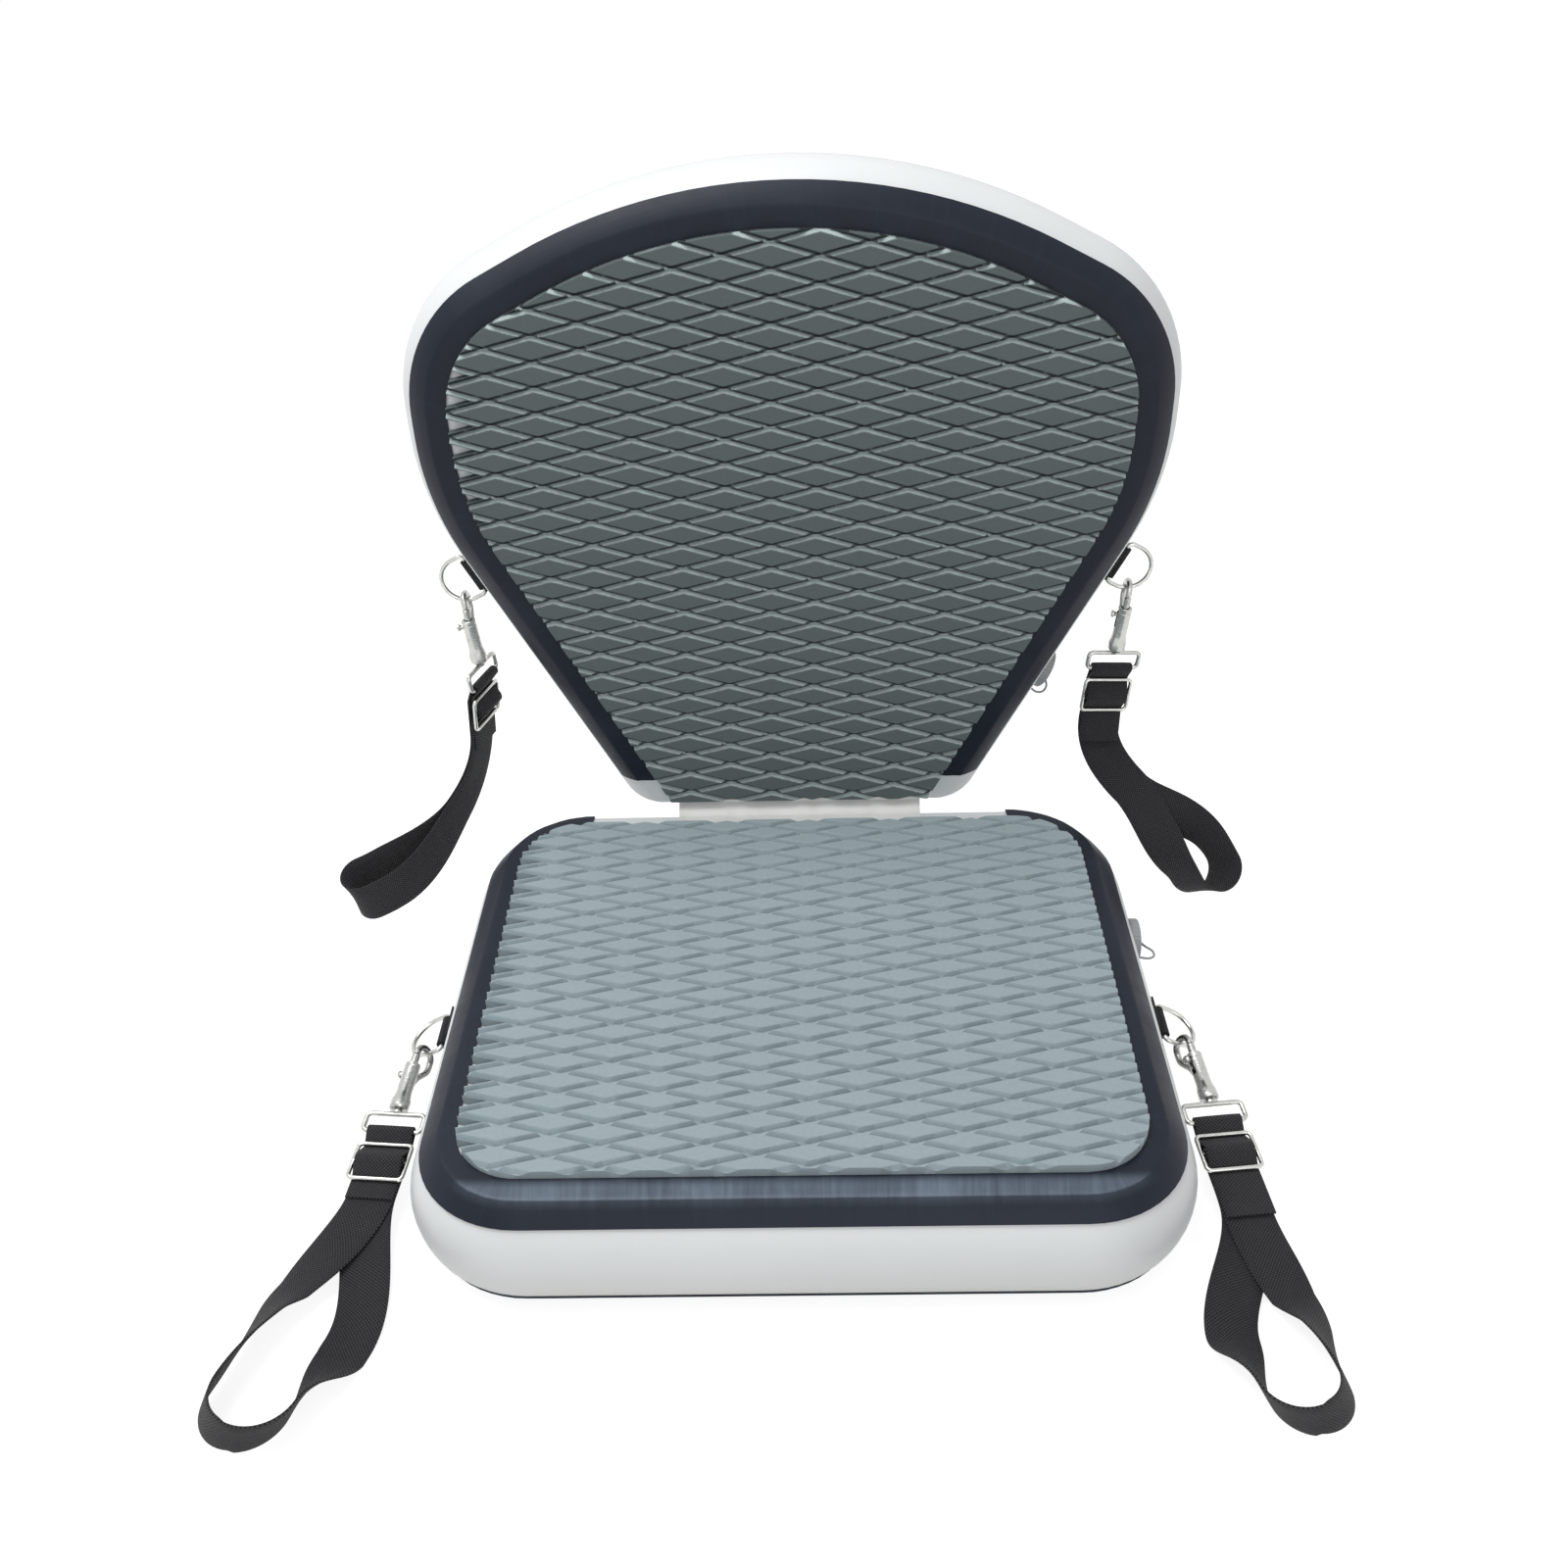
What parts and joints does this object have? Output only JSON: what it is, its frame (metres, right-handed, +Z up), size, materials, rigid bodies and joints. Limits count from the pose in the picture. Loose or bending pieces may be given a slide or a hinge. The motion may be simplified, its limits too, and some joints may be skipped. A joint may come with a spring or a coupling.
{
  "type": "kayak seat",
  "caption": "Inflatable two-pad boat seat: square seat pad and fan-shaped backrest with grooved foam faces, fabric hinge, screw valves and webbing loops on snap hooks.",
  "frame": {"origin": "centre of the seat chamber's flat underside", "axes": "+X across the seat to the right of the picture, +Y from the front edge to the backrest, +Z up"},
  "size_m": [0.5597, 0.4633, 0.4464],
  "materials": {
    "white_pvc": "satin",
    "navy_tape": "satin",
    "pale_grey_foam": "matte",
    "grey_foam": "matte",
    "black_webbing": "woven",
    "nickel_wire": "polished",
    "nickel_casting": "satin",
    "grey_valve": "matte"
  },
  "bodies": {
    "seat": {"seat_chamber": "white_pvc", "seat_top_tape": "navy_tape", "seat_bottom_tape": "navy_tape", "seat_foam_pad": "pale_grey_foam", "hinge_strip": "white_pvc", "seat_valve_body": "grey_valve", "seat_valve_tether": "grey_valve", "seat_left_ring_tab": "black_webbing", "seat_right_ring_tab": "black_webbing"},
    "backrest": {"back_chamber": "white_pvc", "back_front_tape": "navy_tape", "back_rear_tape": "navy_tape", "back_foam_pad": "grey_foam", "back_valve_body": "grey_valve", "back_valve_tether": "grey_valve", "back_left_ring_tab": "black_webbing", "back_right_ring_tab": "black_webbing"},
    "seat_cap": {"seat_valve_cap": "grey_valve"},
    "back_cap": {"back_valve_cap": "grey_valve"},
    "back_left_ring": {"back_left_d_ring": "nickel_wire"},
    "back_left_clip": {"back_left_snap_body": "nickel_casting"},
    "back_left_bolt": {"back_left_snap_bolt": "nickel_casting"},
    "back_left_strap": {"back_left_swivel_eye": "nickel_casting", "back_left_slider": "nickel_wire", "back_left_webbing": "black_webbing"},
    "back_right_ring": {"back_right_d_ring": "nickel_wire"},
    "back_right_clip": {"back_right_snap_body": "nickel_casting"},
    "back_right_bolt": {"back_right_snap_bolt": "nickel_casting"},
    "back_right_strap": {"back_right_swivel_eye": "nickel_casting", "back_right_slider": "nickel_wire", "back_right_webbing": "black_webbing"},
    "seat_left_ring": {"seat_left_d_ring": "nickel_wire"},
    "seat_left_clip": {"seat_left_snap_body": "nickel_casting"},
    "seat_left_bolt": {"seat_left_snap_bolt": "nickel_casting"},
    "seat_left_strap": {"seat_left_swivel_eye": "nickel_casting", "seat_left_slider": "nickel_wire", "seat_left_webbing": "black_webbing"},
    "seat_right_ring": {"seat_right_d_ring": "nickel_wire"},
    "seat_right_clip": {"seat_right_snap_body": "nickel_casting"},
    "seat_right_bolt": {"seat_right_snap_bolt": "nickel_casting"},
    "seat_right_strap": {"seat_right_swivel_eye": "nickel_casting", "seat_right_slider": "nickel_wire", "seat_right_webbing": "black_webbing"}
  },
  "joints": [
    {"name": "backrest_fold", "type": "hinge", "parent": "seat", "child": "backrest", "pos_m": [0, 0.152, 0.0718], "axis": [1, 0, 0], "range_deg": [-25, 85], "deforming": ["hinge_strip", "back_left_webbing", "back_right_webbing"]},
    {"name": "seat_cap_turn", "type": "hinge", "parent": "seat", "child": "seat_cap", "pos_m": [0.1901, 0.066, 0.033], "axis": [1, 0, 0], "range_deg": [0, 90], "deforming": ["seat_valve_tether"]},
    {"name": "back_cap_turn", "type": "hinge", "parent": "backrest", "child": "back_cap", "pos_m": [0.14552, 0.18917, 0.14995], "axis": [0.8878, -0.008, -0.4601], "range_deg": [0, 90], "deforming": ["back_valve_tether"]},
    {"name": "back_left_ring_swing", "type": "hinge", "parent": "backrest", "child": "back_left_ring", "pos_m": [-0.1897, 0.19034, 0.21712], "axis": [0.4602, -0.0155, -0.8877], "range_deg": [-35, 35], "deforming": ["back_left_webbing"]},
    {"name": "back_left_clip_swing", "type": "hinge", "parent": "back_left_ring", "child": "back_left_clip", "pos_m": [-0.197, 0.19005, 0.20045], "axis": [0.995, -0.0014, 0.0995], "range_deg": [-8, 25], "deforming": ["back_left_webbing"]},
    {"name": "back_left_bolt_slide", "type": "slide", "parent": "back_left_clip", "child": "back_left_bolt", "axis": [0.0995, 0, -0.995], "range_m": [0, 0.0055], "stiffness_N_per_m": 300, "springref_m": -0.004},
    {"name": "back_left_swivel", "type": "hinge", "parent": "back_left_clip", "child": "back_left_strap", "pos_m": [-0.19178, 0.18445, 0.14821], "axis": [-0.0995, 0, 0.995], "continuous": true, "deforming": ["back_left_webbing"]},
    {"name": "back_right_ring_swing", "type": "hinge", "parent": "backrest", "child": "back_right_ring", "pos_m": [0.1897, 0.19034, 0.21712], "axis": [0.4602, 0.0155, 0.8877], "range_deg": [-35, 35], "deforming": ["back_right_webbing"]},
    {"name": "back_right_clip_swing", "type": "hinge", "parent": "back_right_ring", "child": "back_right_clip", "pos_m": [0.197, 0.19005, 0.20045], "axis": [0.995, 0.0068, -0.0993], "range_deg": [-8, 25], "deforming": ["back_right_webbing"]},
    {"name": "back_right_bolt_slide", "type": "slide", "parent": "back_right_clip", "child": "back_right_bolt", "axis": [-0.0995, 0.0298, -0.9946], "range_m": [0, 0.0055], "stiffness_N_per_m": 300, "springref_m": -0.004},
    {"name": "back_right_swivel", "type": "hinge", "parent": "back_right_clip", "child": "back_right_strap", "pos_m": [0.1918, 0.18602, 0.14806], "axis": [0.0995, -0.0298, 0.9946], "continuous": true, "deforming": ["back_right_webbing"]},
    {"name": "seat_left_ring_swing", "type": "hinge", "parent": "seat", "child": "seat_left_ring", "pos_m": [-0.1978, -0.004, 0.033], "axis": [0, 1, 0], "range_deg": [-8, 40], "deforming": ["seat_left_webbing"]},
    {"name": "seat_left_clip_swing", "type": "hinge", "parent": "seat_left_ring", "child": "seat_left_clip", "pos_m": [-0.20731, -0.01704, 0.02857], "axis": [-0.8893, 0.1648, -0.4267], "range_deg": [-4, 25], "deforming": ["seat_left_webbing"]},
    {"name": "seat_left_bolt_slide", "type": "slide", "parent": "seat_left_clip", "child": "seat_left_bolt", "axis": [-0.1, -0.9803, -0.1701], "range_m": [0, 0.0055], "stiffness_N_per_m": 300, "springref_m": -0.004},
    {"name": "seat_left_swivel", "type": "hinge", "parent": "seat_left_clip", "child": "seat_left_strap", "pos_m": [-0.21506, -0.06912, 0.02461], "axis": [0.1, 0.9803, 0.1701], "continuous": true, "deforming": ["seat_left_webbing"]},
    {"name": "seat_right_ring_swing", "type": "hinge", "parent": "seat", "child": "seat_right_ring", "pos_m": [0.1978, -0.004, 0.033], "axis": [0, -1, 0], "range_deg": [-8, 40], "deforming": ["seat_right_webbing"]},
    {"name": "seat_right_clip_swing", "type": "hinge", "parent": "seat_right_ring", "child": "seat_right_clip", "pos_m": [0.20731, -0.01704, 0.02857], "axis": [-0.8893, -0.1648, 0.4267], "range_deg": [-4, 25], "deforming": ["seat_right_webbing"]},
    {"name": "seat_right_bolt_slide", "type": "slide", "parent": "seat_right_clip", "child": "seat_right_bolt", "axis": [0.1, -0.9803, -0.1701], "range_m": [0, 0.0055], "stiffness_N_per_m": 300, "springref_m": -0.004},
    {"name": "seat_right_swivel", "type": "hinge", "parent": "seat_right_clip", "child": "seat_right_strap", "pos_m": [0.21506, -0.06912, 0.02461], "axis": [-0.1, 0.9803, 0.1701], "continuous": true, "deforming": ["seat_right_webbing"]}
  ]
}
